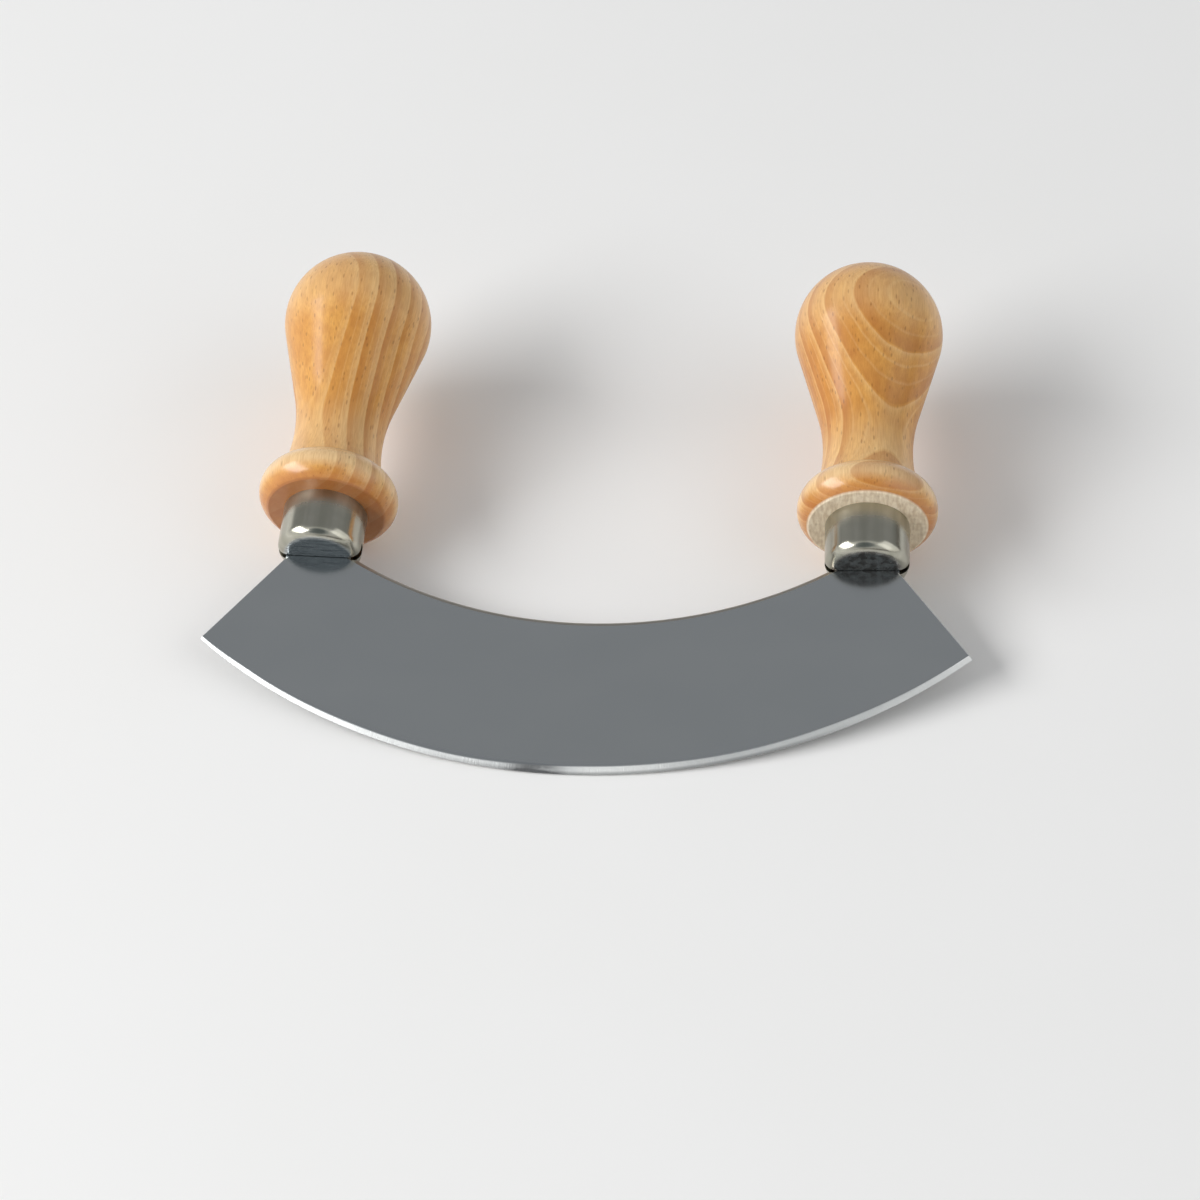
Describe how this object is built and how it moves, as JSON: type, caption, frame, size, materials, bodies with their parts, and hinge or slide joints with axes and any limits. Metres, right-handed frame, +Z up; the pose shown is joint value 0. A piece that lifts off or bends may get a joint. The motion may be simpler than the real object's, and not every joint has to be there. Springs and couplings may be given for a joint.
{
  "type": "mezzaluna",
  "caption": "Crescent rocking knife for herbs: a flat steel blade with a turned wooden handle standing in line with the blade at each end.",
  "frame": {"origin": "on the table that the part lies on, under the middle of its overall box", "axes": "+X from the left handle to the right one, +Y from the cutting edge towards the handles' bulbs, +Z up; the blade's plane leans back by 12.17 degrees, because the part rests on its two collars and on the heel of the bevel"},
  "size_m": [0.166, 0.1325, 0.0418],
  "materials": {
    "blade_steel": "fine satin, polished",
    "ferrule_plating": "bright nickel plate",
    "handle_beech_left": "clear gloss varnish",
    "handle_beech_right": "clear gloss varnish, bare front face",
    "tang_resin": "matt"
  },
  "bodies": {
    "root": {"blade": "blade_steel", "ferrule_left": "ferrule_plating", "ferrule_right": "ferrule_plating", "handle_left": "handle_beech_left", "handle_right": "handle_beech_right", "tang_bedding_left": "tang_resin", "tang_bedding_right": "tang_resin"}
  },
  "joints": []
}
